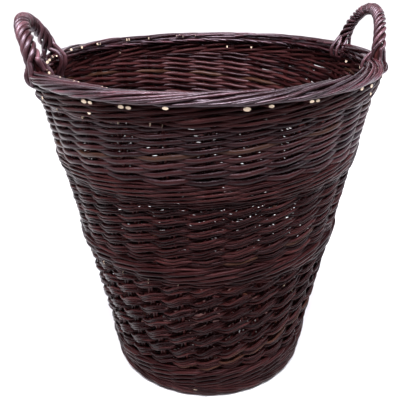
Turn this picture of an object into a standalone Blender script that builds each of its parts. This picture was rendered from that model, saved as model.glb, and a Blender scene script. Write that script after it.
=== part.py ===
"""A round willow log basket with two roped handles, built rod by rod where the rods carry the shape.

Frame: metres, +Z up, origin on the floor under the centre of the basket, handles on +X and -X.
Seven base sticks make a slath with fourteen arms. Two stakes lie beside each arm, turn up at the edge of
the base and run to the border. Each band of weaving is one closed ring that passes outside one stake and
inside the next, and neighbouring bands take the stakes the other way round.
"""

import math

import bmesh
import bpy
from mathutils import Vector

# Frame of the basket
STAKE_COUNT = 28
ARM_COUNT = STAKE_COUNT // 2
STAKE_PITCH = 2 * math.pi / STAKE_COUNT
ARM_PITCH = 2 * math.pi / ARM_COUNT
STAKE_RADIUS = 0.0035
WALL_FOOT_Z = 0.020
WALL_FOOT_RADIUS = 0.1446
WALL_SLOPE = 0.1936
GAP = 0.0004

# Bands of weaving, bottom to top: name, lower height, upper height
WEAVE_THICKNESS = 0.0040
BANDS = (
    ("upsett_wale", 0.0215, 0.058),
    ("lower_slewing_first", 0.058, 0.143),
    ("lower_slewing_second", 0.143, 0.228),
    ("lower_band_wale", 0.228, 0.254),
    ("middle_slewing", 0.254, 0.355),
    ("upper_band_wale", 0.355, 0.380),
    ("top_randing", 0.380, 0.456),
    ("top_wale", 0.456, 0.4715),
)
BANDS_AROUND_BOW_LEGS = ("top_randing", "top_wale")
PLATEAU_SHARE = 0.18  # of the stake pitch, each side of a stake

# Border, a turned ring: half width, height and the rounding of its corners
BORDER_BOTTOM_Z = 0.4720
BORDER_TOP_Z = 0.4905
BORDER_OUTER_RADIUS = 0.2500
BORDER_INNER_RADIUS = 0.2215
BORDER_ROUNDING = 0.0055
BORDER_SEGMENTS = 56
STAKE_TOP_Z = 0.4815

# Foot wale, the thick first round that the basket stands on
FOOT_TOP_Z = 0.0205
FOOT_OUTER_RADIUS = 0.1578
FOOT_FLAT_OUTER_RADIUS = 0.1525
FOOT_FLAT_INNER_RADIUS = 0.1370
FOOT_SEGMENTS = 42

# Base, crowned so that it stands clear of the floor
BASE_STICK_RADIUS = 0.0042
BASE_STICK_PITCH = 0.0088
BASE_EDGE_RADIUS = 0.1375
BASE_EDGE_Z = 0.0130
BASE_CROWN = 0.0110
BASE_STICK_REACH = 0.1320
STAKE_INNER_RADIUS = 0.0880
PIERCED_COUNT = 4
THREADED_COUNT = 3
EYE_LENGTH = 0.046
EYE_WALL = 0.0040
BASE_WEAVE_THICKNESS = 0.0034
INNER_WEAVE_RADII = (0.0440, 0.0860)
OUTER_WEAVE_RADII = (0.0900, 0.1330)

# Handles
BOW_RADIUS = 0.0040
BOW_LEG_OFFSET = 0.0087  # from the middle of the stake that it is pushed down beside
BOW_LEG_BOTTOM_Z = 0.3850
ARCH_HEIGHT = 0.0560  # from the top of the border to the middle of the bow
ARCH_OVERHANG = 0.0190  # how far the top of the arch stands out beyond its feet
ARCH_SHOULDER = 0.0280  # how far the legs run on before they bend over
ARCH_CROWN = 0.0420  # half length of the flat of the arch
ARCH_STEPS = 7
LEG_STAKES = {1: "before", 12: "after", 15: "before", 26: "after"}
STRAND_COUNT = 5
STRAND_RADIUS = 0.0024
STRAND_TURNS = 4.0
STRAND_STATIONS = 54
STRAND_MARGIN = 0.026  # share of the arch left bare at each foot

# Finish
STAINED_WILLOW = (0.060, 0.026, 0.024)
STAINED_STICK = (0.075, 0.034, 0.026)
PALE_BROWN_WILLOW = (0.110, 0.048, 0.042)
SATIN = 0.42


def clear_scene():
    for obj in list(bpy.data.objects):
        bpy.data.objects.remove(obj)


def new_collection(name):
    collection = bpy.data.collections.new(name)
    bpy.context.scene.collection.children.link(collection)
    return collection


def stain(name, colour, roughness):
    material = bpy.data.materials.new(name)
    material.use_nodes = True
    shader = material.node_tree.nodes["Principled BSDF"]
    shader.inputs["Base Color"].default_value = (*colour, 1.0)
    shader.inputs["Roughness"].default_value = roughness
    shader.inputs["Metallic"].default_value = 0.0
    return material


def wall_radius(z):
    """Radius of the middle of the wall, where the stakes run."""
    return WALL_FOOT_RADIUS + WALL_SLOPE * (z - WALL_FOOT_Z)


def crown_height(r):
    """Height of the middle of the base sticks and of the stakes' inner ends."""
    return BASE_EDGE_Z + BASE_CROWN * (1 - (r / BASE_EDGE_RADIUS) ** 2)


def polar(r, angle, z):
    return Vector((r * math.cos(angle), r * math.sin(angle), z))


def link(obj, collection, material=None):
    collection.objects.link(obj)
    if material and not obj.data.materials:
        obj.data.materials.append(material)
    return obj


def rod_curve(name, points, radius, sides=6):
    """A rod as a curve along points, round in section and closed at both ends."""
    curve = bpy.data.curves.new(name, "CURVE")
    curve.dimensions = "3D"
    curve.bevel_depth = radius
    curve.bevel_resolution = (sides - 4) // 2
    curve.use_fill_caps = True
    spline = curve.splines.new("POLY")
    spline.points.add(len(points) - 1)
    for spot, point in zip(spline.points, points):
        spot.co = (*point, 1.0)
    return curve


def rod(name, points, radius, collection, material=None, sides=6):
    return link(bpy.data.objects.new(name, rod_curve(name, points, radius, sides)), collection, material)


def mesh_of_curve(obj, collection, material=None):
    """Replaces a curve object with the mesh that it makes, caps welded, so that it can be cut or joined."""
    bpy.context.view_layer.update()
    made = bpy.data.meshes.new_from_object(obj.evaluated_get(bpy.context.evaluated_depsgraph_get()))
    name, place = obj.name, obj.matrix_world.copy()
    bpy.data.objects.remove(obj)
    bm = bmesh.new()
    bm.from_mesh(made)
    bmesh.ops.remove_doubles(bm, verts=bm.verts, dist=0.00001)
    bmesh.ops.recalc_face_normals(bm, faces=bm.faces)
    bm.to_mesh(made)
    bm.free()
    solid = link(bpy.data.objects.new(name, made), collection, material)
    solid.matrix_world = place
    return solid


def joined(name, objects, collection):
    """One mesh object out of several, for use as a cutter."""
    bm = bmesh.new()
    for obj in objects:
        part = obj.data.copy()
        part.transform(obj.matrix_world)
        bm.from_mesh(part)
        bpy.data.meshes.remove(part)
        bpy.data.objects.remove(obj)
    mesh = bpy.data.meshes.new(name)
    bm.to_mesh(mesh)
    bm.free()
    return as_helper(link(bpy.data.objects.new(name, mesh), collection))


def as_helper(obj):
    obj.hide_render = True
    obj.display_type = "WIRE"
    return obj


def boolean(obj, other, operation):
    modifier = obj.modifiers.new(f"{operation.lower()} {other.name}", "BOOLEAN")
    modifier.operation = operation
    modifier.solver = "EXACT"
    modifier.object = other


def box(name, size, centre, collection, material=None):
    bpy.ops.mesh.primitive_cube_add(size=1.0)
    obj = bpy.context.active_object
    obj.name = name
    for holder in list(obj.users_collection):
        holder.objects.unlink(obj)
    for vertex in obj.data.vertices:
        vertex.co = Vector(c * s for c, s in zip(vertex.co, size)) + Vector(centre)
    return link(obj, collection, material)


def turned(name, profile, segments, collection, material):
    """A solid ring turned about Z from a closed profile of (radius, height), outer side first, downwards."""
    mesh = bpy.data.meshes.new(name)
    count = len(profile)
    mesh.from_pydata([(r, 0.0, z) for r, z in profile], [(i, (i + 1) % count) for i in range(count)], [])
    obj = link(bpy.data.objects.new(name, mesh), collection, material)
    screw = obj.modifiers.new("turn", "SCREW")
    screw.axis = "Z"
    screw.angle = 2 * math.pi
    screw.steps = segments
    screw.render_steps = segments
    screw.use_merge_vertices = True
    screw.merge_threshold = 0.00001
    return obj


def loop_of(bm, points):
    verts = [bm.verts.new(point) for point in points]
    return [bm.edges.new((a, b)) for a, b in zip(verts, verts[1:] + verts[:1])]


def wall_stations(middle_radius, phase, around_bow_legs):
    """(angle, side) pairs round one band: side is +1 outside a stake and -1 inside it, flat past each stake."""
    reach = PLATEAU_SHARE * STAKE_PITCH
    leg_reach = (BOW_LEG_OFFSET + BOW_RADIUS + 0.0015) / middle_radius
    stations = []
    for i in range(STAKE_COUNT):
        angle = (i + 0.5) * STAKE_PITCH
        side = 1 if (i + phase) % 2 == 0 else -1
        leg = LEG_STAKES.get(i) if around_bow_legs else None
        stations.append((angle - (leg_reach if leg == "before" else reach), side))
        stations.append((angle + (leg_reach if leg == "after" else reach), side))
    return stations


def woven_band(name, low, high, phase, collection, material):
    """One band of the side weaving, as a ring that waves in and out round the stakes."""
    low, high = low + GAP / 2, high - GAP / 2
    wave = BOW_RADIUS + GAP + WEAVE_THICKNESS / 2
    stations = wall_stations(wall_radius(low), phase, name in BANDS_AROUND_BOW_LEGS)
    bm = bmesh.new()
    edges = []
    for face in (1, -1):
        edges += loop_of(
            bm,
            [
                polar(wall_radius(low) + side * wave + face * WEAVE_THICKNESS / 2, angle, low)
                for angle, side in stations
            ],
        )
    bottom = bmesh.ops.bridge_loops(bm, edges=edges)["faces"]
    raised = bmesh.ops.extrude_face_region(bm, geom=bottom)["geom"]
    flare = WALL_SLOPE * (high - low)
    for vert in (item for item in raised if isinstance(item, bmesh.types.BMVert)):
        outward = Vector((vert.co.x, vert.co.y, 0)).normalized()
        vert.co += outward * flare + Vector((0, 0, high - low))
    bmesh.ops.recalc_face_normals(bm, faces=bm.faces)
    mesh = bpy.data.meshes.new(name)
    bm.to_mesh(mesh)
    bm.free()
    return link(bpy.data.objects.new(name, mesh), collection, material)


def stake_points():
    """A stake in the XZ plane, from its end in the base, round the turn at the edge and up to the border."""
    lying = [(r, crown_height(r)) for r in (STAKE_INNER_RADIUS, 0.5 * (STAKE_INNER_RADIUS + BASE_EDGE_RADIUS))]
    turn = [(BASE_EDGE_RADIUS, BASE_EDGE_Z), (0.1427, 0.0160), (wall_radius(0.0212), 0.0212)]
    standing = [(wall_radius(z), z) for z in (0.22, STAKE_TOP_Z)]
    return [Vector((r, 0, z)) for r, z in lying + turn + standing]


def make_stakes(collection, material):
    shared = rod_curve("stake", stake_points(), STAKE_RADIUS)
    for i in range(STAKE_COUNT):
        stake = link(bpy.data.objects.new(f"stake_{i + 1:02d}", shared), collection, material)
        stake.rotation_euler.z = (i + 0.5) * STAKE_PITCH


def arm_points(side_offset, angle, along):
    """A base stick's points on one side of the slath, from its bend out to its end, in the plane of the base."""
    start = Vector((0.0235, side_offset)) if along == "X" else Vector((side_offset, 0.0235))
    spots = [start] + [Vector((r * math.cos(angle), r * math.sin(angle))) for r in (0.046, 0.088, BASE_STICK_REACH)]
    return [Vector((p.x, p.y, crown_height(p.length))) for p in spots]


def make_base_sticks(collection, cutters, material):
    """Four pierced sticks lie along X with an eye in the middle, and three threaded sticks pass through them."""
    middle_z = crown_height(0.0)
    slot_width = THREADED_COUNT * BASE_STICK_PITCH + 0.001
    slot_height = 2 * (BASE_STICK_RADIUS + GAP)
    for k in range(PIERCED_COUNT):
        row = k - (PIERCED_COUNT - 1) / 2
        offset, angle = row * BASE_STICK_PITCH, row * ARM_PITCH
        half = arm_points(offset, angle, "X")
        points = [Vector((-p.x, p.y, p.z)) for p in reversed(half)] + half
        name = f"pierced_base_stick_{k + 1}"
        stick = mesh_of_curve(rod(name, points, BASE_STICK_RADIUS, collection), collection, material)
        eye_size = (EYE_LENGTH, 2 * BASE_STICK_RADIUS - 0.0004, slot_height + 2 * EYE_WALL)
        eye = as_helper(box(f"eye_{k + 1}", eye_size, (0, offset, middle_z), cutters))
        slit_size = (slot_width, 4 * BASE_STICK_RADIUS, slot_height)
        slit = as_helper(box(f"slit_{k + 1}", slit_size, (0, offset, middle_z), cutters))
        boolean(stick, eye, "UNION")
        boolean(stick, slit, "DIFFERENCE")
    for k in range(THREADED_COUNT):
        row = k - (THREADED_COUNT - 1) / 2
        offset, angle = row * BASE_STICK_PITCH, math.pi / 2 - row * ARM_PITCH
        half = arm_points(offset, angle, "Y")
        points = [Vector((p.x, -p.y, p.z)) for p in reversed(half)] + half
        rod(f"threaded_base_stick_{k + 1}", points, BASE_STICK_RADIUS, collection, material)


def base_weave(name, radii, half_width, phase, collection, material):
    """A ring of base weaving that passes over one arm and under the next. half_width is that of an arm, with
    any stakes beside it, at each radius."""
    wave = BASE_STICK_RADIUS + GAP + 0.0004 + BASE_WEAVE_THICKNESS / 2
    bm = bmesh.new()
    edges = []
    for radius in radii:
        points = []
        for j in range(ARM_COUNT):
            height = crown_height(radius) + (wave if (j + phase) % 2 == 0 else -wave)
            for side in (-1, 1):
                points.append(polar(radius, (j + 0.5) * ARM_PITCH + side * half_width(radius) / radius, height))
        edges += loop_of(bm, points)
    bmesh.ops.bridge_loops(bm, edges=edges)
    bmesh.ops.recalc_face_normals(bm, faces=bm.faces)
    mesh = bpy.data.meshes.new(name)
    bm.to_mesh(mesh)
    bm.free()
    weave = link(bpy.data.objects.new(name, mesh), collection, material)
    thicken = weave.modifiers.new("thickness", "SOLIDIFY")
    thicken.thickness = BASE_WEAVE_THICKNESS
    thicken.offset = 0.0
    return weave


def make_base_weaving(collection, material):
    def arm_alone(_radius):
        return BASE_STICK_RADIUS + 0.0004

    def arm_and_stakes(radius):
        return radius * STAKE_PITCH / 2 + STAKE_RADIUS + 0.0004

    base_weave("base_weave_inner", INNER_WEAVE_RADII, arm_alone, 0, collection, material)
    base_weave("base_weave_outer", OUTER_WEAVE_RADII, arm_and_stakes, 1, collection, material)


def make_foot(collection, material):
    """The foot wale: a flat underside, and a hollow on the inside for the stakes to turn up in."""
    profile = (
        (0.1492, FOOT_TOP_Z),
        (0.1560, FOOT_TOP_Z - 0.0015),
        (FOOT_OUTER_RADIUS, 0.0080),
        (FOOT_FLAT_OUTER_RADIUS, 0.0),
        (FOOT_FLAT_INNER_RADIUS, 0.0),
        (FOOT_FLAT_INNER_RADIUS, 0.0084),
        (0.1400, 0.0088),
        (0.1464, 0.0126),
    )
    return turned("foot_wale", profile, FOOT_SEGMENTS, collection, material)


def bow_line(z, side):
    """A point on the line of a bow's leg, on the +X handle, parallel to the stake that it stands beside."""
    angle = 1.5 * STAKE_PITCH
    along = Vector((math.cos(angle), math.sin(angle), 0))
    across = Vector((-math.sin(angle), math.cos(angle), 0))
    point = along * wall_radius(z) - across * BOW_LEG_OFFSET
    return Vector((point.x, side * point.y, z))


def arch_points():
    """The bow's line over the border on the +X handle, one leg to the other, with a smooth curve each side."""
    foot = bow_line(BORDER_TOP_Z, 1)
    leg = (foot - bow_line(BOW_LEG_BOTTOM_Z, 1)).normalized()
    top = Vector((foot.x + ARCH_OVERHANG, 0, foot.z + ARCH_HEIGHT))
    shoulder = foot + leg * ARCH_SHOULDER
    crown = top + Vector((0, ARCH_CROWN, 0))
    half = []
    for i in range(ARCH_STEPS + 1):
        t = i / ARCH_STEPS
        half.append(
            foot * (1 - t) ** 3 + shoulder * 3 * t * (1 - t) ** 2 + crown * 3 * t * t * (1 - t) + top * t**3
        )
    return half + [Vector((p.x, -p.y, p.z)) for p in reversed(half[:-1])]


def point_along(points, share):
    """The point at this share of a polyline's length, and its direction there."""
    lengths = [(b - a).length for a, b in zip(points, points[1:])]
    left = share * sum(lengths)
    for (a, b), length in zip(zip(points, points[1:]), lengths):
        if left <= length + 1e-9:
            return a.lerp(b, left / length), (b - a).normalized()
        left -= length
    return points[-1], (points[-1] - points[-2]).normalized()


def strand_points(number):
    """One roping strand, wound round the bow from foot to foot."""
    arch = arch_points()
    plane = (arch[0] - arch[-1]).cross(arch[len(arch) // 2] - arch[0]).normalized()
    wind_radius = BOW_RADIUS + STRAND_RADIUS + 0.0009
    points = []
    for i in range(STRAND_STATIONS + 1):
        share = i / STRAND_STATIONS
        centre, along = point_along(arch, STRAND_MARGIN + (1 - 2 * STRAND_MARGIN) * share)
        turn = 2 * math.pi * (STRAND_TURNS * share + number / STRAND_COUNT)
        inward = plane.cross(along).normalized()
        points.append(centre + wind_radius * (math.cos(turn) * inward + math.sin(turn) * plane))
    return points


def make_handles(collection, bow_material, strand_material):
    """Two handles, the second the first one turned half way round the basket."""
    legs = [bow_line(BOW_LEG_BOTTOM_Z, 1), bow_line(BOW_LEG_BOTTOM_Z, -1)]
    bow = rod_curve("bow", legs[:1] + arch_points() + legs[1:], BOW_RADIUS)
    strands = [rod_curve(f"strand_{n + 1}", strand_points(n), STRAND_RADIUS) for n in range(STRAND_COUNT)]
    for name, turn in (("right", 0.0), ("left", math.pi)):
        obj = link(bpy.data.objects.new(f"{name}_handle_bow", bow), collection, bow_material)
        obj.rotation_euler.z = turn
        for n, strand in enumerate(strands):
            wound = bpy.data.objects.new(f"{name}_handle_strand_{n + 1}", strand)
            link(wound, collection, strand_material).rotation_euler.z = turn


def make_border(collection, cutters, material):
    """The border, with a pocket for the top of each stake and a hole for each leg of the bows."""
    r_out, r_in, low, high, e = (
        BORDER_OUTER_RADIUS,
        BORDER_INNER_RADIUS,
        BORDER_BOTTOM_Z,
        BORDER_TOP_Z,
        BORDER_ROUNDING,
    )
    profile = (
        (r_out - e, high),
        (r_out, high - e),
        (r_out, low + e),
        (r_out - e, low),
        (r_in + e, low),
        (r_in, low + e),
        (r_in, high - e),
        (r_in + e, high),
    )
    border = turned("border", profile, BORDER_SEGMENTS, collection, material)
    tools = []
    for i in range(STAKE_COUNT):
        line = [Vector((wall_radius(z), 0, z)) for z in (low - 0.010, STAKE_TOP_Z + GAP)]
        tool = rod(f"pocket_{i + 1}", line, STAKE_RADIUS + GAP, cutters)
        tool.rotation_euler.z = (i + 0.5) * STAKE_PITCH
        tools.append(mesh_of_curve(tool, cutters))
    for turn in (0.0, math.pi):
        for side in (-1, 1):
            line = [bow_line(low - 0.010, side), bow_line(high + 0.010, side)]
            tool = rod("leg_hole", line, BOW_RADIUS + GAP, cutters)
            tool.rotation_euler.z = turn
            tools.append(mesh_of_curve(tool, cutters))
    boolean(border, joined("border_pockets", tools, cutters), "DIFFERENCE")


def smooth(collection):
    for obj in collection.objects:
        if obj.type == "MESH":
            obj.data.shade_smooth()
            obj.data.set_sharp_from_angle(angle=math.radians(40))


def main():
    clear_scene()
    basket = new_collection("wicker_log_basket")
    cutters = new_collection("cutters")
    dark = stain("stained_willow", STAINED_WILLOW, SATIN)
    stick = stain("stained_stick", STAINED_STICK, SATIN)
    light = stain("pale_brown_willow", PALE_BROWN_WILLOW, SATIN)
    make_base_sticks(basket, cutters, stick)
    make_base_weaving(basket, dark)
    make_foot(basket, dark)
    make_stakes(basket, stick)
    for number, (name, low, high) in enumerate(BANDS):
        woven_band(name, low, high, number % 2, basket, light if "wale" in name else dark)
    make_border(basket, cutters, light)
    make_handles(basket, stick, light)
    smooth(basket)


main()
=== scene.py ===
"""Looks of the willow log basket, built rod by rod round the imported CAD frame.

Stakes stand in the wall. Every band of weaving is made of the rods that weave it: waling passes in front of
two stakes and behind one, slewing and randing pass in front of one and behind the next, and the border rods
wind over the rim. The rods of a band go into one piece or a few, and each rod keeps its own tone.
"""

import math

import bpy
import numpy as np
from mathutils import Matrix, Vector


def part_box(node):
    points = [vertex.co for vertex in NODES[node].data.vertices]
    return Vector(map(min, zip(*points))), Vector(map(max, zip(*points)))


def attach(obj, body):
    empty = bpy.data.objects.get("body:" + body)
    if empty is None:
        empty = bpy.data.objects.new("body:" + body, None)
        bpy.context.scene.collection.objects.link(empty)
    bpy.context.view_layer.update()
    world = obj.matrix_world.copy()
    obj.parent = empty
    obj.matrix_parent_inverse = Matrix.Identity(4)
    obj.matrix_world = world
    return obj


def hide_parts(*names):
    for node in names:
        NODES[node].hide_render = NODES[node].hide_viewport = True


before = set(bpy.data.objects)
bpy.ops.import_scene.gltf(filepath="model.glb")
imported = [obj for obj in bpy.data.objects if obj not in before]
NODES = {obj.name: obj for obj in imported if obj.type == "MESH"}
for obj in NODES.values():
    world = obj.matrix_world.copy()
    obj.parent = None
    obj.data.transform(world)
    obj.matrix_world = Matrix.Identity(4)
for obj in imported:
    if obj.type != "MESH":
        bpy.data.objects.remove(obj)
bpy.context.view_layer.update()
RNG = np.random.default_rng(28)

# Stakes and rods, in metres
STAKE_RADIUS = 0.0026
BYE_STAKE_RADIUS = 0.0022
BYE_STAKE_OFFSET = 0.0048  # along the wall, from the middle of its stake
BYE_STAKE_SIDES = {12: -1, 26: -1}  # by index: on the stake's other side, clear of a handle's leg
WALE_FILL = 0.33  # radius of a waling rod, as a share of the height of one round
SIDES = 8  # of a rod's cross-section
STATIONS = 8  # along a weaving rod, per stake
ROD_GAP = 0.00035  # between rods woven side by side
BAND_OVERLAP = 0.0018  # how far a woven band runs into the waling above and below it

STAKES = sorted(n for n in NODES if n.startswith("stake_"))
COUNT = len(STAKES)
PITCH = 2 * math.pi / COUNT


# ---------------------------------------------------------------- the frame's own measurements


def points_of(node):
    """The corners of a CAD node's mesh."""
    mesh = NODES[node].data
    co = np.zeros(len(mesh.vertices) * 3)
    mesh.vertices.foreach_get("co", co)
    return co.reshape(-1, 3)


def rim_of(node, top):
    """(height, middle radius) of a band's upper or lower edge."""
    co = points_of(node)
    z = co[:, 2].max() if top else co[:, 2].min()
    edge = co[np.abs(co[:, 2] - z) < 0.0005]
    radius = np.hypot(edge[:, 0], edge[:, 1])
    return z, (radius.max() + radius.min()) / 2


def span(*nodes):
    """Lowest and highest z of these nodes together."""
    boxes = [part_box(n) for n in nodes]
    return min(low.z for low, _ in boxes), max(high.z for _, high in boxes)


WALL_LOW, WALL_LOW_R = rim_of("upsett_wale", False)
WALL_HIGH, WALL_HIGH_R = rim_of("top_wale", True)
WALL_SLOPE = (WALL_HIGH_R - WALL_LOW_R) / (WALL_HIGH - WALL_LOW)
WALL_SHIFT = 0.0040  # the stakes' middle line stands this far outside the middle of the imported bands
WALL_TILT = math.atan(WALL_SLOPE)

BORDER_LOW, BORDER_HIGH = span("border")
BORDER_RADII = np.hypot(*points_of("border")[:, :2].T)
BORDER_IN, BORDER_OUT = BORDER_RADII.min(), BORDER_RADII.max()


def around(radius, angle, z):
    """Points at these distances from the basket's axis, angles and heights."""
    return np.stack([radius * np.cos(angle), radius * np.sin(angle), z], -1)


def wall_radius(z):
    """Distance from the axis to the middle of the wall."""
    return WALL_LOW_R + WALL_SHIFT + WALL_SLOPE * (z - WALL_LOW)


def on_wall(angle, z, off):
    """Points at these angles and heights, a distance off outside the middle of the wall."""
    return around(wall_radius(z) + off * math.cos(WALL_TILT), angle, z - off * math.sin(WALL_TILT))


def stake_angle(s):
    """Angle at stake number s, which may be a fraction between two stakes."""
    return (s + 0.5) * PITCH


# ---------------------------------------------------------------- rods


def unit(v):
    """These vectors, each made one long."""
    return v / np.maximum(np.linalg.norm(v, axis=1, keepdims=True), 1e-12)


def smooth(share):
    """A share from 0 to 1 that starts and ends level."""
    return share * share * (3 - 2 * share)


def catmull_rom(a, b, c, d, t):
    """The smooth curve from b to c, at t from 0 to 1, with a before them and d after."""
    return 0.5 * (2 * b + (c - a) * t + (2 * a - 5 * b + 4 * c - d) * t**2 + (3 * b - a - 3 * c + d) * t**3)


def wobble(count, reach, length):
    """A smooth random line: count values within about reach, changing over length stations."""
    knots = RNG.normal(0, reach, max(2, int(count / length) + 2))
    at = np.linspace(0, len(knots) - 1.001, count)
    low = at.astype(int)
    share = smooth(at - low)
    return knots[low] * (1 - share) + knots[low + 1] * share


def cyclic(u, keys):
    """A smooth repeating line through keys, which are evenly spaced over one period of u from 0 to 1."""
    k = np.array(keys, float)
    n = len(k)
    at = (u % 1.0) * n
    i = at.astype(int) % n
    return catmull_rom(k[(i - 1) % n], k[i], k[(i + 1) % n], k[(i + 2) % n], at - np.floor(at))


def through(points, count):
    """A smooth open line of count points through a few given points."""
    p = np.array(points, float)
    p = np.vstack([2 * p[0] - p[1], p, 2 * p[-1] - p[-2]])
    at = np.linspace(1, len(p) - 2.000001, count)
    i = at.astype(int)
    return catmull_rom(p[i - 1], p[i], p[i + 1], p[i + 2], (at - i)[:, None])


CUT_EDGE_ANGLE = math.radians(50)  # edges sharper than this stay sharp, as round a cut end


class Rods:
    """Rods gathered into one mesh. Each is a round tube with cut ends, or a closed ring."""

    def __init__(self):
        self.points = []
        self.faces = []
        self.cut = []  # for each face, 1 if it is on a cut end
        self.grain = []  # for each point, its place along and across the rod
        self.tone = []
        self.hue = []
        self.total = 0  # points so far

    def add(self, path, radius, upright=(0, 0, 1), closed=False, hue=None, sides=SIDES, cut_facing=None):
        """A rod along path, never parallel to upright. Its last end is cut square, or to face cut_facing.

        Its tone is random, and so is its hue unless it is given one.
        """
        path = np.asarray(path, float)
        n = len(path)
        radius = np.broadcast_to(np.asarray(radius, float), (n,))
        if closed:
            along = unit(np.roll(path, -1, 0) - np.roll(path, 1, 0))
        else:
            along = unit(np.gradient(path, axis=0))
        up = np.broadcast_to(np.asarray(upright, float), path.shape)
        across = unit(np.cross(along, up))
        up = np.cross(across, along)
        turn = np.arange(sides) * 2 * math.pi / sides
        spoke_a, spoke_b = np.cos(turn), np.sin(turn)
        ring = (
            path[:, None]
            + radius[:, None, None] * spoke_a[None, :, None] * across[:, None]
            + radius[:, None, None] * spoke_b[None, :, None] * up[:, None]
        )
        if cut_facing is not None:
            facing = np.asarray(cut_facing, float)
            ring[-1] -= ((ring[-1] - path[-1]) @ facing / (along[-1] @ facing))[:, None] * along[-1]
        length = np.concatenate([[0], np.cumsum(np.linalg.norm(np.diff(path, axis=0), axis=1))])
        seed = RNG.uniform(0, 40)
        grain = np.zeros((n, sides, 3))
        grain[..., 0] = length[:, None] + seed
        grain[..., 1] = radius[:, None] * spoke_a + seed
        grain[..., 2] = radius[:, None] * spoke_b
        first = self.total
        self.points.append(ring.reshape(-1, 3))
        self.grain.append(grain.reshape(-1, 3))
        rows = np.arange(n if closed else n - 1)
        i = rows[:, None] * sides + np.arange(sides)
        j = ((rows + 1) % n)[:, None] * sides + np.arange(sides)
        i_next = rows[:, None] * sides + (np.arange(sides) + 1) % sides
        j_next = ((rows + 1) % n)[:, None] * sides + (np.arange(sides) + 1) % sides
        quads = np.stack([i, i_next, j_next, j], -1).reshape(-1, 4) + first
        self.faces.extend(quads.tolist())
        self.cut.extend([0] * len(quads))
        self.total += n * sides
        if not closed:
            for row, back in ((0, True), (n - 1, False)):
                middle = self.total
                self.points.append(path[row : row + 1])
                self.grain.append(np.array([[length[row] + seed, seed, 0.0]]))
                self.total += 1
                edge = (first + row * sides + np.arange(sides)).tolist()
                for a, b in zip(edge, edge[1:] + edge[:1]):
                    self.faces.append([middle, b, a] if back else [middle, a, b])
                    self.cut.append(1)
        made = self.total - first
        self.tone.append(np.full(made, RNG.uniform(0, 1)))
        self.hue.append(np.full(made, RNG.uniform(0, 1) if hue is None else hue))

    def piece(self, name, bark, replaces, slot):
        """The rods so far as one piece of the basket, which takes the place of these CAD nodes."""
        mesh = bpy.data.meshes.new(name)
        mesh.from_pydata(np.concatenate(self.points).tolist(), [], self.faces)
        mesh.materials.append(bark)
        mesh.materials.append(CUT)
        mesh.polygons.foreach_set("material_index", self.cut)
        for label, kind, rows in (
            ("rod_grain", "FLOAT_VECTOR", self.grain),
            ("rod_tone", "FLOAT", self.tone),
            ("rod_hue", "FLOAT", self.hue),
        ):
            attribute = mesh.attributes.new(label, kind, "POINT")
            values = np.concatenate(rows).astype(np.float32).ravel()
            attribute.data.foreach_set("vector" if kind == "FLOAT_VECTOR" else "value", values)
        mesh.shade_smooth()
        mesh.set_sharp_from_angle(angle=CUT_EDGE_ANGLE)
        obj = bpy.data.objects.new(name, mesh)
        bpy.context.scene.collection.objects.link(obj)
        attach(obj, "root")
        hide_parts(*replaces)


# ---------------------------------------------------------------- materials


def nodes_of(material):
    """The material's node tree and its shader."""
    material.use_nodes = True
    tree = material.node_tree
    return tree, tree.nodes["Principled BSDF"]


def attribute(tree, name):
    node = tree.nodes.new("ShaderNodeAttribute")
    node.attribute_name = name
    return node


def math_node(tree, operation, a, b):
    node = tree.nodes.new("ShaderNodeMath")
    node.operation = operation
    for socket, value in zip(node.inputs, (a, b)):
        if isinstance(value, (int, float)):
            socket.default_value = value
        else:
            tree.links.new(value, socket)
    return node.outputs[0]


def ramp(tree, source, stops):
    node = tree.nodes.new("ShaderNodeValToRGB")
    elements = node.color_ramp.elements
    while len(elements) < len(stops):
        elements.new(0.5)
    for element, (at, colour) in zip(elements, stops):
        element.position = at
        element.color = (*colour, 1.0)
    tree.links.new(source, node.inputs["Fac"])
    return node.outputs["Color"]


def noise(tree, vector, scale, detail, rough=0.5):
    node = tree.nodes.new("ShaderNodeTexNoise")
    node.inputs["Scale"].default_value = scale
    node.inputs["Detail"].default_value = detail
    node.inputs["Roughness"].default_value = rough
    tree.links.new(vector, node.inputs["Vector"])
    return node.outputs["Fac"]


def stretched(tree, vector, stretch):
    """The vector scaled along each of its axes: the larger, the finer the pattern that way."""
    node = tree.nodes.new("ShaderNodeMapping")
    node.inputs["Scale"].default_value = stretch
    tree.links.new(vector, node.inputs["Vector"])
    return node.outputs["Vector"]


def scaled(tree, value, by):
    return math_node(tree, "MULTIPLY", value, by)


def bumped(tree, shader, heights, strength, distance):
    """Relief on the surface, from a pattern of heights."""
    bump = tree.nodes.new("ShaderNodeBump")
    bump.inputs["Strength"].default_value = strength
    bump.inputs["Distance"].default_value = distance
    tree.links.new(heights, bump.inputs["Height"])
    tree.links.new(bump.outputs["Normal"], shader.inputs["Normal"])


def roughened(tree, shader, least, pattern, gain):
    """Roughness that rises from its least value with a pattern."""
    rough = math_node(tree, "ADD", least, scaled(tree, pattern, gain))
    tree.links.new(rough, shader.inputs["Roughness"])


def blended(tree, factor, a, b, kind="MIX"):
    """Two colours mixed. On Blender's Mix node the colours are inputs 6 and 7, and output 2."""
    node = tree.nodes.new("ShaderNodeMix")
    node.data_type = "RGBA"
    node.blend_type = kind
    for socket, value in zip((node.inputs[0], node.inputs[6], node.inputs[7]), (factor, a, b)):
        if isinstance(value, (int, float)):
            socket.default_value = value
        elif isinstance(value, tuple):
            socket.default_value = (*value, 1.0)
        else:
            tree.links.new(value, socket)
    return node.outputs[2]


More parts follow.
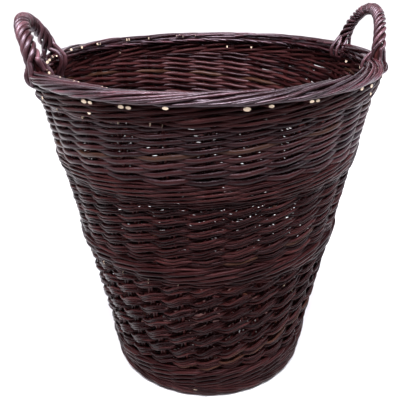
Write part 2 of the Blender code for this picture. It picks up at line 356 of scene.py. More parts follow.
# How far the bark's patterns are stretched: along a rod, and twice across it
PATCHES = (22, 90, 90)
STREAKS = (60, 900, 900)
WRINKLES = (420, 1500, 1500)
WEAR = ((0.30, (0.45, 0.45, 0.45)), (0.55, (1.0, 1.0, 1.0)), (0.80, (1.75, 1.65, 1.65)))  # tint in a streak
TAN_ABOVE = 0.975  # rods with a hue above this are partly tan
TAN_SHARE = 0.60


def bark_material(name, dark, mid, light, tan, roughness, gloss, shine):
    """Willow bark under a dark stain: each rod its own tone, with grain and paler worn streaks along it."""
    material = bpy.data.materials.new(name)
    tree, shader = nodes_of(material)
    grain = attribute(tree, "rod_grain").outputs["Vector"]
    tone = attribute(tree, "rod_tone").outputs["Fac"]
    hue = attribute(tree, "rod_hue").outputs["Fac"]
    patches = noise(tree, stretched(tree, grain, PATCHES), 1.0, 3.0)
    streaks = noise(tree, stretched(tree, grain, STREAKS), 1.0, 4.0, 0.65)
    wrinkles = noise(tree, stretched(tree, grain, WRINKLES), 1.0, 3.0, 0.6)
    stain = math_node(tree, "ADD", scaled(tree, tone, 0.55), scaled(tree, patches, 0.5))
    body = ramp(tree, stain, ((0.12, dark), (0.5, mid), (0.88, light)))
    is_tan = math_node(tree, "GREATER_THAN", hue, TAN_ABOVE)
    body = blended(tree, scaled(tree, is_tan, TAN_SHARE), body, tan)
    body = blended(tree, 1.0, body, ramp(tree, streaks, WEAR), "MULTIPLY")
    tree.links.new(body, shader.inputs["Base Color"])
    roughened(tree, shader, roughness - 0.14, streaks, 0.30)
    shader.inputs["Specular IOR Level"].default_value = gloss
    shader.inputs["Specular Tint"].default_value = (*shine, 1.0)
    relief = math_node(tree, "ADD", streaks, scaled(tree, wrinkles, 0.5))
    bumped(tree, shader, relief, strength=0.60, distance=0.0006)
    return material


def cut_material():
    """The pale face of a cut rod: cream wood with browner fibres."""
    material = bpy.data.materials.new("cut_willow")
    tree, shader = nodes_of(material)
    grain = attribute(tree, "rod_grain").outputs["Vector"]
    fibres = noise(tree, grain, 1800.0, 3.0)
    body = ramp(tree, fibres, ((0.25, (0.42, 0.29, 0.18)), (0.75, (0.80, 0.68, 0.52))))
    tree.links.new(body, shader.inputs["Base Color"])
    roughened(tree, shader, 0.55, fibres, 0.25)
    bumped(tree, shader, fibres, strength=0.3, distance=0.0004)
    return material


def stick_material():
    """Stained bark for the sticks of the base, which are still the CAD's own solids."""
    material = bpy.data.materials.new("base_stick_bark")
    tree, shader = nodes_of(material)
    place = tree.nodes.new("ShaderNodeTexCoord").outputs["Object"]
    streaks = noise(tree, stretched(tree, place, (180, 180, 180)), 1.0, 4.0)
    body = ramp(tree, streaks, ((0.3, (0.020, 0.009, 0.009)), (0.7, (0.085, 0.038, 0.034))))
    tree.links.new(body, shader.inputs["Base Color"])
    roughened(tree, shader, 0.35, streaks, 0.30)
    bumped(tree, shader, streaks, strength=0.4, distance=0.0005)
    return material


WEAVE_BARK = bark_material(
    "stained_willow_bark",
    dark=(0.0034, 0.0006, 0.0006),
    mid=(0.0112, 0.0022, 0.0022),
    light=(0.0370, 0.0100, 0.0095),
    tan=(0.045, 0.020, 0.011),
    roughness=0.24,
    gloss=0.07,
    shine=(1.0, 0.70, 0.76),
)
RANDING_BARK = bark_material(
    "top_willow_bark",
    dark=(0.0034, 0.0006, 0.0007),
    mid=(0.0112, 0.0022, 0.0023),
    light=(0.0390, 0.0110, 0.0108),
    tan=(0.045, 0.020, 0.011),
    roughness=0.19,
    gloss=0.13,
    shine=(1.0, 0.80, 0.90),
)
RED_BARK = bark_material(
    "reddish_willow_bark",
    dark=(0.0040, 0.0008, 0.0008),
    mid=(0.0120, 0.0025, 0.0025),
    light=(0.0370, 0.0112, 0.0110),
    tan=(0.080, 0.038, 0.019),
    roughness=0.27,
    gloss=0.06,
    shine=(1.0, 0.68, 0.74),
)
BORDER_BARK = bark_material(
    "border_willow_bark",
    dark=(0.0042, 0.0006, 0.0008),
    mid=(0.0145, 0.0028, 0.0033),
    light=(0.0560, 0.0180, 0.0220),
    tan=(0.090, 0.046, 0.022),
    roughness=0.22,
    gloss=0.44,
    shine=(1.0, 0.84, 0.97),
)
HANDLE_BARK = bark_material(
    "worn_handle_bark",
    dark=(0.0120, 0.0028, 0.0034),
    mid=(0.0330, 0.0105, 0.0122),
    light=(0.1250, 0.0560, 0.0660),
    tan=(0.150, 0.080, 0.045),
    roughness=0.33,
    gloss=0.50,
    shine=(1.0, 0.84, 0.97),
)
CUT = cut_material()
STICK_BARK = stick_material()


# ---------------------------------------------------------------- stakes

BASE_EDGE = 0.1375  # radius at which a stake leaves the weave of the base
STAKE_DIP = 0.0035  # how far it comes down half way there
STAKE_BEND = [(0.1350, 0.0133), (0.1425, 0.0150)]  # radius and height where it turns up
BYE_STAKE_FOOT = 0.024  # height that the bye-stakes are pushed down to
STAKE_STATIONS = 60
BYE_STATIONS = 40


def make_stakes():
    """Every stake, from the base round the bend and up the wall, and the bye-stake beside it."""
    for i, name in enumerate(STAKES):
        co = points_of(name)
        centre = co.mean(0)
        angle = math.atan2(centre[1], centre[0])
        outward = np.array([math.cos(angle), math.sin(angle)])
        aside = np.array([-math.sin(angle), math.cos(angle)])
        upright = (*aside, 0.0)
        reach = np.hypot(co[:, 0], co[:, 1])
        inner_r = reach.min()
        inner_z = co[reach < inner_r + 0.002][:, 2].mean()
        top = co[:, 2].max()
        rods = Rods()
        spots = [(inner_r, inner_z), (0.5 * (inner_r + BASE_EDGE), inner_z - STAKE_DIP)] + STAKE_BEND
        spots += [(wall_radius(WALL_LOW) - 0.0010, WALL_LOW)]
        spots += [(wall_radius(z), z) for z in (0.035, *np.linspace(0.08, top - 0.001, 8))]
        path = through(spots, STAKE_STATIONS)
        lean = wobble(STAKE_STATIONS, 0.0006, 12)
        points = np.column_stack([path[:, :1] * outward + lean[:, None] * aside, path[:, 1]])
        rods.add(points, np.linspace(1.04, 0.94, STAKE_STATIONS) * STAKE_RADIUS, upright, sides=10)
        z = np.linspace(BYE_STAKE_FOOT, top - 0.004, BYE_STATIONS)
        bye = on_wall(np.full(BYE_STATIONS, angle), z, 0.0)
        offset = BYE_STAKE_SIDES.get(i, 1) * BYE_STAKE_OFFSET + wobble(BYE_STATIONS, 0.0005, 10)
        bye[:, :2] += offset[:, None] * aside
        rods.add(bye, np.linspace(1.1, 0.85, BYE_STATIONS) * BYE_STAKE_RADIUS, upright)
        rods.piece(f"stake_rod_{i + 1:02d}", WEAVE_BARK, [name], "stained_stick")


# ---------------------------------------------------------------- weaving

WEAVER_ENDS = 1.15  # stakes that a weaver runs on level past the edges of its band
CROSSING = 0.7  # how sharply it goes from in front to behind: next to 0 for a sine, more for a step
STAGGER = 0.6  # how far neighbours in a group part where they cross the wall, as a share of their radius


def woven_in_turn(name, nodes, rise, group, radius, swing, ride, reach, thinning, bark, parts=1, parity=0):
    """Slewing, or randing where group is 1: one weaver per stake, each in front of one stake and behind the
    next, and each a group of rods side by side.

    It climbs about rise per stake, steeper over the stakes than between them by swing. ride lifts it in
    front of a stake, and reach is how far it stands off the wall there. thinning is how much thicker than
    the average the rods are at their butts, and the rows with them. The band is made as this many parts,
    and parity moves the start of every weaver on by that many stakes.
    """
    low, high = span(*nodes)
    low -= BAND_OVERLAP
    high += BAND_OVERLAP
    apart = 2 * radius + ROD_GAP
    half = group * apart / 2
    steps = max(2, round((high - low - 2 * half) / rise))
    climb = (high - low - 2 * half) / steps
    bundles = [Rods() for _ in range(parts)]
    for j in range(COUNT):
        u = np.arange(-WEAVER_ENDS, steps + WEAVER_ENDS, 1 / STATIONS)
        crossing = np.sin(np.pi * u) ** 2
        in_front = np.clip(np.cos(np.pi * u), 0, 1) ** 2
        shared = wobble(len(u), 0.00028, 4)
        done = np.clip(u / steps, 0, 1)
        thick = 1 + thinning * (1 - 2 * done)
        for m in range(group):
            place = m - (group - 1) / 2
            stagger = STAGGER * radius * (1 if m % 2 else -1) * (group > 1)
            out = reach * np.tanh(CROSSING * np.cos(np.pi * (u + 0.04 * place))) / math.tanh(CROSSING)
            out += stagger * crossing + wobble(len(u), 0.0003, 6) + 0.0003 * RNG.normal()
            slant = np.clip(u + swing * np.sin(2 * np.pi * u) / (2 * np.pi), 0, steps)
            pack = 1.05 - 0.10 * crossing
            height = climb * slant * (1 + thinning * (1 - slant / steps))
            edge = half * (1 + thinning * (1 - 2 * done))
            z = low + edge + (high - low - 2 * edge) * height / (climb * steps)
            z += place * apart * pack * thick + ride * in_front
            z += shared + wobble(len(u), 0.0002, 7)
            z = np.clip(z, low + 0.6 * radius, high - 0.6 * radius)
            taper = thick * (1 + wobble(len(u), 0.05, 6)) * RNG.uniform(0.94, 1.07)
            path = on_wall(stake_angle(u + j + parity), z, out)
            bundles[(j * parts) // COUNT].add(path, radius * taper)
    for k, rods in enumerate(bundles):
        suffix = f"_{k + 1}" if parts > 1 else ""
        rods.piece(f"{name}_rods{suffix}", bark, nodes, "stained_willow")


# A waling rod over three stakes, in six steps: out from the wall, in reaches, and up, in rod widths
WALE_OUT = (0.0, 1.0, 1.06, 1.0, 0.0, -1.0)
WALE_UP = (-0.42, -0.52, 0.0, 0.52, 0.42, 0.0)
WALE_TIP = 0.22  # thickness that a round thins to at either end of the band


def wale_height(turns, rounds, height):
    """Height of the wale's middle after these turns, and its thickness: nothing at both its ends."""
    step = height / (rounds - 1)
    n = np.minimum(turns.astype(int), rounds - 1)
    share = turns - n
    first = step * share / 2
    last = step * (rounds - 2 + (1 + share) / 2)
    z = np.where(n == 0, first, np.where(n == rounds - 1, last, step * (turns - 0.5)))
    thick = np.where(n == 0, share, np.where(n == rounds - 1, 1 - share, 1.0))
    return z, thick


def wale(band, rounds, bark, start, lift=0.0):
    """Three-rod waling, laid in one long spiral: in front of two stakes, behind one."""
    low, high = span(band)
    high += lift
    step = (high - low) / (rounds - 1)
    radius = WALE_FILL * step
    reach = STAKE_RADIUS + radius + 0.0004
    rods = Rods()
    for m in range(3):
        s = np.arange(0, COUNT * rounds, 1 / STATIONS)
        middle, thick = wale_height(s / COUNT, rounds, high - low)
        thick = np.maximum(thick, WALE_TIP)
        u = (s - m) / 3
        out = reach * cyclic(u, WALE_OUT) * (0.6 + 0.4 * thick)
        z = low + middle + 2 * radius * cyclic(u, WALE_UP) * thick + wobble(len(s), 0.00020, 9)
        angle = stake_angle(s + start)
        width = radius * np.sqrt(thick) * (1 + wobble(len(s), 0.05, 10))
        path = on_wall(angle, np.clip(z, low + 0.001, high - 0.001), out + wobble(len(s), 0.0003, 9))
        cuts = sorted(RNG.uniform(0.1, 0.9, 2 + rounds) * len(s))
        ends = [0] + [int(c) for c in cuts] + [len(s)]
        for a, b in zip(ends, ends[1:]):
            if b - a > 6:
                rods.add(path[max(0, a - 2) : b], width[max(0, a - 2) : b])
    rods.piece(f"{band}_rods", bark, [band], "pale_brown_willow")


# Rings of the foot: how far in from the foot's outer edge, height, and thickness
FOOT_RINGS = (
    (0.0155, 0.0050, 0.0048),
    (0.0092, 0.0062, 0.0050),
    (0.0066, 0.0112, 0.0048),
    (0.0060, 0.0164, 0.0046),
    (0.0222, 0.0060, 0.0042),
)
FOOT_PROUD = 0.0018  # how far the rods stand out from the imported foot
FOOT_ROD = 0.46  # radius of a rod, as a share of its ring's thickness


def foot():
    """The first rounds of waling, under and outside the bend of the stakes."""
    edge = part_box("foot_wale")[1].x + FOOT_PROUD
    rods = Rods()
    turns = round(COUNT / 3)
    s = np.arange(0, COUNT, 1 / STATIONS)
    a = stake_angle(s)
    for n, (inward, height, thick) in enumerate(FOOT_RINGS):
        rod = FOOT_ROD * thick
        wind = (thick - rod) * 0.8
        for m in range(3):
            phase = 2 * math.pi * (turns * s / COUNT + m / 3) + 2.1 * n
            path = around(edge - inward + wind * np.cos(phase), a, height - wind * np.sin(phase))
            rods.add(path, rod * (1 + 0.05 * np.sin(7 * a + m)), closed=True)
    rods.piece("foot_wale_rods", RED_BARK, ["foot_wale"], "stained_willow")


# ---------------------------------------------------------------- border

# Where a border rod is, in stakes along its length: its distance outside the border's middle line and its
# height above the border's lower face, as shares of half the border's width and of its height
BORDER_COURSE = (
    (0.0, 0.00, -0.90),
    (0.4, -0.35, -0.25),
    (0.9, -0.70, 0.08),
    (1.4, -0.30, 0.20),
    (1.9, 0.45, 0.14),
    (2.4, 0.84, 0.24),
    (3.0, 0.86, 0.58),
    (3.6, 0.50, 0.86),
    (4.2, 0.00, 0.93),
    (4.8, -0.50, 0.90),
    (5.3, -0.80, 0.84),
)
BORDER_ROD_RADIUS = 0.0022
BORDER_RODS_PER_STAKE = 2
BORDER_CORE = ((-0.45, 0.45), (0.05, 0.40), (0.40, 0.50), (-0.10, 0.72))  # out and up, of rods inside it
BORDER_SHOWN_ENDS = 0.08  # share of the rods whose cut tip looks up out of the border
BORDER_LIFT = 0.0068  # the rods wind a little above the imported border's lower face, over the last waling


def border():
    """Rods that leave the wall, pass inside and then outside the rim and end over its top, two a stake."""
    middle, half = (BORDER_OUT + BORDER_IN) / 2, (BORDER_OUT - BORDER_IN) / 2
    foot_z = BORDER_LOW + BORDER_LIFT
    height = BORDER_HIGH - foot_z
    course = np.array(BORDER_COURSE)
    count = 64
    rods = Rods()
    for i in range(COUNT * BORDER_RODS_PER_STAKE):
        stretch = course * [1 + 0.10 * RNG.normal(), 1.0, 1.0]
        s, out, up = through(stretch, count).T
        proud = RNG.uniform(-0.0016, 0.0008)
        r = middle + out * (half + proud) + wobble(count, 0.0008, 10)
        z = foot_z + up * height + wobble(count, 0.0006, 10)
        start = np.clip(1 - s / 0.5, 0, 1)
        r = r * (1 - start) + wall_radius(z) * start
        path = around(r, stake_angle(s + i / BORDER_RODS_PER_STAKE), z)
        radius = BORDER_ROD_RADIUS * RNG.uniform(0.82, 1.10) * np.linspace(1.08, 0.92, count)
        shows = RNG.uniform() < BORDER_SHOWN_ENDS
        aim = 0.55 * unit(path[-1:] - path[-3:-2])[0] + [0.0, 0.0, 0.80] if shows else None
        rods.add(path, radius, sides=10, hue=RNG.uniform(0, 0.96), cut_facing=aim)
    angle = stake_angle(np.arange(0, COUNT, 1 / STATIONS))
    for out, up in BORDER_CORE:
        r = middle + out * half + 0.0006 * np.sin(5 * angle + 9 * out)
        z = foot_z + up * height + 0.0005 * np.sin(4 * angle + 7 * up)
        rods.add(around(r, angle, z), BORDER_ROD_RADIUS, closed=True, hue=0.5)
    rods.piece("border_rods", BORDER_BARK, ["border"], "pale_brown_willow")


# ---------------------------------------------------------------- cut ends

STUB_LENGTH = 0.022
STUB_FACE = 0.0075  # from the middle of the wall to a cut face that is flush with the weaving
BUTTS_UNDER_BORDER = BORDER_LOW + 0.0060
BUTTS_BELOW = BORDER_LOW - 0.0070  # the few in the weaving under the border
BUTTS_AT_FOOT = 0.0150
BUTTS_SHOWN = 0.86  # share of the stakes with a cut end under the border
BUTTS_DOUBLED = 0.28  # share of those with a second one beside it
BUTTS_ELSEWHERE = 0.30  # share of the stakes with one below, and again with one at the foot
SECOND_BUTT = 0.036  # angle from a cut end to the second one


def cut_stub(rods, angle, z, radius, proud, turn, rise):
    """The end of a rod that leaves the wall turned aside and rising by rise, cut to face outwards."""
    outward = np.array([math.cos(angle), math.sin(angle), 0.0])
    aside = np.array([-math.sin(angle), math.cos(angle), 0.0])
    aim = math.cos(turn) * outward + math.sin(turn) * aside + rise * np.array([0.0, 0.0, 1.0])
    aim /= np.linalg.norm(aim)
    tip = on_wall(angle, z, STUB_FACE + proud)
    path = tip - np.linspace(STUB_LENGTH, 0, 5)[:, None] * aim
    rods.add(path, radius, sides=14, hue=RNG.uniform(0, 0.9), cut_facing=outward)


def cut_butts():
    """Cut rod ends: a row just under the border, a few in the weaving below it and some at the foot."""
    rods = Rods()
    for i in range(COUNT):
        if RNG.uniform() < BUTTS_SHOWN:
            angle = stake_angle(i + 0.20 * RNG.normal() + 0.3)
            z = BUTTS_UNDER_BORDER + 0.0007 * RNG.normal()
            cut_stub(rods, angle, z, RNG.uniform(0.0017, 0.0025), proud=0.0016, turn=1.0, rise=-0.06)
            if RNG.uniform() < BUTTS_DOUBLED:
                radius = RNG.uniform(0.0014, 0.0020)
                angle += SECOND_BUTT
                cut_stub(rods, angle, z - 0.0006, radius, proud=0.0012, turn=1.0, rise=-0.06)
        if RNG.uniform() < BUTTS_ELSEWHERE:
            angle = stake_angle(i + 0.5 + 0.1 * RNG.normal())
            cut_stub(rods, angle, BUTTS_BELOW, 0.0019, proud=0.0010, turn=0.8, rise=-0.2)
        if RNG.uniform() < BUTTS_ELSEWHERE:
            cut_stub(rods, stake_angle(i + 0.4), BUTTS_AT_FOOT, 0.0022, proud=0.0010, turn=0.9, rise=0.0)
    rods.piece("cut_rod_ends", RED_BARK, ["border"], "pale_brown_willow")


# ---------------------------------------------------------------- base

BASE_STICK = 0.0042  # radius of the base's crossed sticks
BASE_ROD = 0.00185
BASE_PACK = 0.90  # how close the rows lie, as a share of a rod's width
BASE_ARMS = COUNT // 2
BASE_STATIONS = 14  # per arm
# Piece and node, radii that it fills, and how sharply its rods turn between the arms
BASE_WEAVES = (
    ("base_weave_inner", 0.030, 0.0885, 2.0),
    ("base_weave_outer", 0.0915, 0.1350, 3.2),
)


def crown(r):
    """Height of the base sticks at this radius, from the frame."""
    co = points_of("threaded_base_stick_2")
    radii = np.abs(co[:, 1])
    near = co[radii < 0.03]
    far = co[radii > radii.max() - 0.004]
    top, edge = near[:, 2].mean(), far[:, 2].mean()
    return edge + (top - edge) * (1 - (r / radii.max()) ** 2)


def base():
    """Rows of weaving round the base, over one arm and under the next."""
    s = np.arange(0, BASE_ARMS, 1 / BASE_STATIONS)
    a = s * 2 * math.pi / BASE_ARMS
    for node, r_low, r_high, turns in BASE_WEAVES:
        rods = Rods()
        rows = int((r_high - r_low) / (2 * BASE_ROD * BASE_PACK))
        for k in range(rows):
            r = r_low + (k + 0.5) * (r_high - r_low) / rows
            swing = np.tanh(turns * np.cos(np.pi * (s + k % 2))) / math.tanh(turns)
            z = crown(r) + (BASE_STICK + BASE_ROD + 0.0002) * swing + 0.0002 * np.sin(5 * a + k)
            rods.add(around(r, a, z), BASE_ROD * (1 + 0.05 * np.sin(3 * a + 2 * k)), closed=True)
        rods.piece(f"{node}_rods", WEAVE_BARK, [node], "stained_willow")


# ---------------------------------------------------------------- handles

ROPE_STRANDS = 5
ROPE_TURNS = {"right": 4.6, "left": 3.7}
ROPE_SLACK = 0.36  # how much slower than average the strands wind at the feet, and faster at the top
STRAND_RADIUS = {"right": 0.0025, "left": 0.0035}
STRAND_WIND = {"right": 0.0060, "left": 0.0076}  # from the middle of the rope to the middle of a strand
ROPE_END = 0.0120  # above the border, where the strands leave the rope and spread
ROPE_FLARE = 0.0022  # how far the strands spread outwards and sideways before they leave the rope
FLARE_HEIGHT = 0.034  # above the border, where the spreading starts
FOOT_SPREAD = 0.0120  # half the width of a handle's foot, along the border
HANDLE_SIDES = {"right": 1, "left": -1}
OUTWARD_LEAN = {"right": -0.0025, "left": 0.0060}  # at the top of the arch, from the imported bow's middle
CREST_HEIGHT = {"right": -0.0016, "left": -0.0050}  # of the rope's middle line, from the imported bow's top
SHOULDER = [0.0050, -0.0016, 0.0275]  # from a foot of the arch to the point that its rise is aimed at
CREST_REACH = 0.0420  # how far along the basket the arch is aimed level from its crest
BOW_RADIUS = 0.0040
STRAND_CLEAR = 0.0016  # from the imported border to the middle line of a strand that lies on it
# How many strands of a foot go down inside the border, how many through its middle (the rest go outside),
# and how far below the border the inner ones go before they turn into the wall
FOOT_WAYS = {
    ("right", "back"): (2, 3, 0.004),
    ("right", "front"): (1, 4, 0.018),
    ("left", "front"): (1, 3, 0.018),
    ("left", "back"): (2, 2, 0.018),
}


def foot_point(co):
    """Middle of a bow at the top of the border, as distance across and along the basket."""
    at_rim = np.abs(co[:, 2] - BORDER_HIGH) < 0.004
    return co[at_rim, 0].mean(), np.abs(co[at_rim, 1]).mean()


def handle_arch(lean, crest, count):
    """Middle line of the right handle above the border, from the back foot over the top to the front."""
    co = points_of("right_handle_bow")
    x, y = foot_point(co)
    top = co[:, 2].max() + crest
    crest_x = co[co[:, 2] > top - 0.004, 0].mean()
    start = np.array([x, y, BORDER_HIGH])
    shoulder = start + SHOULDER
    peak = np.array([crest_x, 0.0, top])
    flat = peak + [0.0, CREST_REACH, 0.0]
    t = np.linspace(0, 1, 200)[:, None]
    rest = 1 - t
    half = start * rest**3 + shoulder * 3 * t * rest**2 + flat * 3 * t * t * rest + peak * t**3
    line = np.vstack([half, half[::-1][1:] * [1, -1, 1]])
    line[:, 0] += lean * (line[:, 2] - BORDER_HIGH) / (top - BORDER_HIGH)
    length = np.concatenate([[0], np.cumsum(np.linalg.norm(np.diff(line, axis=0), axis=1))])
    even = np.linspace(0, length[-1], count)
    return np.column_stack([np.interp(even, length, line[:, k]) for k in range(3)])


def way_down(tip, before, angle, way, place, drop):
    """The last stretch of a strand: from the end of the rope down beside the border, or into it."""
    low, high = BORDER_LOW, BORDER_HIGH
    r_in, r_out = BORDER_IN - STRAND_CLEAR, BORDER_OUT + STRAND_CLEAR
    half_way = 0.5 * (math.atan2(tip[1], tip[0]) + angle)
    if way == "outside":
        spots = [
            around(r_out - 0.0035, half_way, high + 0.0015),
            around(r_out - 0.0002, angle, high - 0.0070),
            around(r_out - 0.0030, angle, low + 0.0020),
            around(r_out - 0.0130, angle, low - 0.0060),
            around(wall_radius(low - 0.014) + 0.0065, angle, low - 0.0140),
            around(wall_radius(low - 0.026) - 0.0020, angle + 0.004, low - 0.0260),
        ]
    elif way == "inside":
        spots = [
            around(r_in + 0.0050, half_way, high + 0.0030),
            around(r_in - 0.0006, angle, high - 0.0060),
            around(r_in - 0.0002, angle, low + 0.0020),
            around(wall_radius(low - 0.5 * drop) - 0.0085, angle, low - 0.5 * drop),
            around(wall_radius(low - drop) - 0.0020, angle - 0.004, low - drop - 0.0040),
        ]
    else:
        r = r_in + place * (r_out - r_in)
        spots = [
            around(0.5 * (r + math.hypot(tip[0], tip[1])), half_way, high + 0.0040),
            around(r, angle, high - 0.0050),
            around(r - 0.0010, angle, low + 0.0020),
        ]
    away = unit((tip - before)[None])[0]
    return through([tip, tip + 0.003 * away] + spots, 44)[1:]


def spread_foot(tips, befores, ways_in):
    """How the strands go down at one foot: the innermost inside the border, the outermost outside."""
    inside, within, drop = ways_in
    reach = np.hypot(tips[:, 0], tips[:, 1])
    angles = np.arctan2(tips[:, 1], tips[:, 0])
    middle = angles.mean()
    half = FOOT_SPREAD / (BORDER_OUT + STRAND_CLEAR)
    order = np.argsort(reach)
    ways = [None] * len(tips)
    for group, way in (
        (order[:inside], "inside"),
        (order[inside : inside + within], "through"),
        (order[inside + within :], "outside"),
    ):
        depth = {k: (n + 0.8) / (len(group) + 0.3) for n, k in enumerate(group)}
        group = sorted(group, key=lambda k: angles[k])
        reach_along = half * min(1.0, len(group) / 3)
        targets = np.linspace(-reach_along, reach_along, len(group)) if len(group) > 1 else [0.0]
        for k, shift in zip(group, targets):
            ways[k] = way_down(tips[k], befores[k], middle + shift, way, depth[k], drop)
    return ways


def bow(side, sign, line):
    """The bent rod inside the rope, with its two legs pushed down beside the stakes."""
    co = points_of("right_handle_bow")
    x, y = foot_point(co)
    angle = math.atan2(y, x)
    leg_z = np.linspace(co[:, 2].min() + 0.001, BORDER_HIGH - 0.018, 8)
    back_leg = on_wall(np.full(8, angle), leg_z, 0.0)
    front_leg = back_leg[::-1] * [1, -1, 1]
    rods = Rods()
    path = through(np.vstack([back_leg, line[::6], front_leg]), 160) * [sign, sign, 1]
    rods.add(path, BOW_RADIUS, upright=(1.0, 0.0, 0.02), sides=12)
    rods.piece(f"{side}_bow_rod", RED_BARK, [f"{side}_handle_bow"], "stained_stick")


def handles():
    """Both handles: a bent bow in a rope of strands, which spread at each foot and go down there."""
    for side, sign in HANDLE_SIDES.items():
        line = handle_arch(OUTWARD_LEAN[side], CREST_HEIGHT[side], 151)
        bow(side, sign, line)
        roped = line[line[:, 2] > BORDER_HIGH + ROPE_END]
        along = unit(np.gradient(roped, axis=0))
        aside = unit(np.cross(np.broadcast_to([1.0, 0.0, 0.0], roped.shape), along))
        outward = np.cross(along, aside)
        share = np.linspace(0, 1, len(roped))
        wound = share - ROPE_SLACK * np.sin(2 * np.pi * share) / (2 * np.pi)
        above = roped[:, 2] - BORDER_HIGH
        flare = ROPE_FLARE * smooth(np.clip(1 - (above - ROPE_END) / (FLARE_HEIGHT - ROPE_END), 0, 1))
        strands = []
        for n in range(ROPE_STRANDS):
            phase = 2 * math.pi * (ROPE_TURNS[side] * wound + n / ROPE_STRANDS + 0.05)
            wind = STRAND_WIND[side] + wobble(len(roped), 0.0002, 12)
            across = wind * np.cos(phase) + 0.5 * flare * np.cos(phase)
            out = wind * np.sin(phase) + flare * np.clip(0.4 + np.sin(phase), 0, 1)
            strands.append(roped + across[:, None] * aside + out[:, None] * outward)
        feet = ("back", "front") if side == "right" else ("front", "back")
        tips = [np.array([strand[at] for strand in strands]) for at in (0, 1, -1, -2)]
        starts = spread_foot(tips[0], tips[1], FOOT_WAYS[side, feet[0]])
        ends = spread_foot(tips[2], tips[3], FOOT_WAYS[side, feet[1]])
        for n, strand in enumerate(strands):
            full = np.vstack([starts[n][::-1], strand, ends[n]]) * [sign, sign, 1.0]
            width = STRAND_RADIUS[side] * RNG.uniform(0.93, 1.06) * (1 + wobble(len(full), 0.04, 12))
            width *= 1 - 0.10 * np.sin(np.pi * np.linspace(0, 1, len(full))) ** 2
            rods = Rods()
            rods.add(full, width, upright=(1.0, 0.0, 0.02), sides=10, hue=RNG.uniform(0, 0.9))
            node = f"{side}_handle_strand_{n + 1}"
            rods.piece(f"{side}_rope_strand_{n + 1}", HANDLE_BARK, [node], "pale_brown_willow")


# ---------------------------------------------------------------- floor, lights and camera


FLOOR_SIZE = 60.0
FLOOR_DROP = 0.0002  # under the basket's foot
FLOOR_GREYS = ((0.0, (0.58, 0.58, 0.58)), (1.0, (0.61, 0.61, 0.61)))


def floor():
    bpy.ops.mesh.primitive_plane_add(size=FLOOR_SIZE, location=(0, 0, -FLOOR_DROP))
    obj = bpy.context.active_object
    obj.name = "floor"
    material = bpy.data.materials.new("floor_paper")
    tree, shader = nodes_of(material)
    place = tree.nodes.new("ShaderNodeTexCoord").outputs["Object"]
    body = ramp(tree, noise(tree, place, 3.0, 2.0), FLOOR_GREYS)
    tree.links.new(body, shader.inputs["Base Color"])
    shader.inputs["Roughness"].default_value = 0.9
    obj.data.materials.append(material)


def softbox(name, size, power, place, target, colour):
    """A lit rectangle of this size that faces the target."""
    light = bpy.data.lights.new(name, "AREA")
    light.shape = "RECTANGLE"
    light.size, light.size_y = size
    light.energy = power
    light.color = colour
    obj = bpy.data.objects.new(name, light)
    bpy.context.scene.collection.objects.link(obj)
    obj.location = place
    obj.rotation_mode = "QUATERNION"
    obj.rotation_quaternion = (Vector(target) - Vector(place)).to_track_quat("-Z", "Y")


def lights():
    """A soft sun overhead, a long softbox above the rim, and windows behind, in front and at the sides."""
    sky = bpy.data.lights.new("overhead_sky", "SUN")
    sky.energy = 6.5
    sky.angle = math.radians(26)
    sky.color = (1.0, 0.97, 1.0)
    sky_object = bpy.data.objects.new("overhead_sky", sky)
    bpy.context.scene.collection.objects.link(sky_object)
    sky_object.rotation_euler = (math.radians(22), math.radians(-3), 0.0)
    softbox("overhead_box", (2.2, 0.25), 44, (0.0, -0.42, 1.20), (0.0, 0.2, 0.38), (0.92, 0.92, 1.0))
    softbox("back_window", (2.6, 1.2), 20, (0.0, 2.0, 1.3), (0.0, 0.0, 0.1), (0.93, 0.91, 1.0))
    softbox("front_strip", (2.4, 0.22), 5, (0.0, -1.45, 1.15), (0.0, 0.2, 0.45), (0.90, 0.90, 1.0))
    softbox("left_window", (0.8, 1.6), 11, (-1.7, 0.3, 1.0), (0, 0, 0.3), (0.93, 0.90, 1.0))
    softbox("right_window", (0.8, 1.6), 9, (1.7, 0.3, 0.9), (0, 0, 0.3), (0.90, 0.82, 1.0))
    world = bpy.data.worlds.new("studio")
    bpy.context.scene.world = world
    world.use_nodes = True
    background = world.node_tree.nodes["Background"]
    background.inputs["Color"].default_value = (0.97, 0.96, 1.0, 1.0)
    background.inputs["Strength"].default_value = 0.03
    bpy.context.scene.view_settings.view_transform = "Standard"


CAMERA_DISTANCE = 0.8349  # from the basket's axis
CAMERA_HEIGHT = 0.6332
CAMERA_TURN = 6.2  # degrees that it stands round to the left of the basket's front
# In radians: how far it looks down, past the axis to the right, and over to one side
CAMERA_PITCH = 0.4169
CAMERA_YAW = -0.0137
CAMERA_ROLL = -0.0157
SENSOR_WIDTH = 36.0  # in millimetres, as is the lens
LENS = 51.354


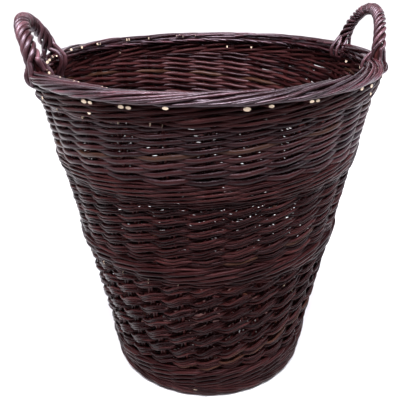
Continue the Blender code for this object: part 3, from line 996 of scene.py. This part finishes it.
def camera():
    """The photo's camera: raised in front of the basket, a little to its left, and looking down."""
    turn = math.radians(CAMERA_TURN)
    yaw = CAMERA_YAW + turn
    place = Vector((-CAMERA_DISTANCE * math.sin(turn), -CAMERA_DISTANCE * math.cos(turn), CAMERA_HEIGHT))
    level, down = math.cos(CAMERA_PITCH), math.sin(CAMERA_PITCH)
    ahead = Vector((math.sin(yaw) * level, math.cos(yaw) * level, -down))
    right = ahead.cross(Vector((0, 0, 1))).normalized()
    up = right.cross(ahead)
    rolled_right = math.cos(CAMERA_ROLL) * right + math.sin(CAMERA_ROLL) * up
    rolled_up = math.cos(CAMERA_ROLL) * up - math.sin(CAMERA_ROLL) * right
    data = bpy.data.cameras.new("camera")
    data.sensor_width = SENSOR_WIDTH
    data.lens = LENS
    obj = bpy.data.objects.new("camera", data)
    bpy.context.scene.collection.objects.link(obj)
    axes = Matrix((rolled_right, rolled_up, -ahead)).transposed()
    obj.matrix_world = Matrix.Translation(place) @ axes.to_4x4()
    bpy.context.scene.camera = obj


# ---------------------------------------------------------------- the basket


def kept_nodes():
    """The sticks of the base stay on show as CAD nodes, under the bark of the sticks."""
    for name, obj in NODES.items():
        if name.startswith(("pierced", "threaded")):
            obj.data.materials.clear()
            obj.data.materials.append(STICK_BARK)


kept_nodes()
make_stakes()
foot()
wale("upsett_wale", 5, RED_BARK, 0.0)
woven_in_turn(
    "lower_slewing",
    ["lower_slewing_first", "lower_slewing_second"],
    rise=0.0118,
    group=4,
    radius=0.00166,
    swing=1.05,
    ride=0.0030,
    reach=0.0050,
    thinning=0.14,
    bark=WEAVE_BARK,
    parts=4,
)
wale("lower_band_wale", 4, RED_BARK, 0.4)
woven_in_turn(
    "middle_slewing",
    ["middle_slewing"],
    rise=0.0080,
    group=3,
    radius=0.00176,
    swing=0.90,
    ride=0.0008,
    reach=0.0038,
    thinning=0.18,
    bark=WEAVE_BARK,
    parts=2,
    parity=1,
)
wale("upper_band_wale", 5, WEAVE_BARK, 1.3)
woven_in_turn(
    "top_randing",
    ["top_randing"],
    rise=0.0048,
    group=1,
    radius=0.0033,
    swing=0.78,
    ride=0.0003,
    reach=0.0032,
    thinning=0.22,
    bark=RANDING_BARK,
)
wale("top_wale", 4, RED_BARK, 2.1, lift=BORDER_LIFT + 0.0025)
border()
cut_butts()
base()
handles()
floor()
lights()
camera()
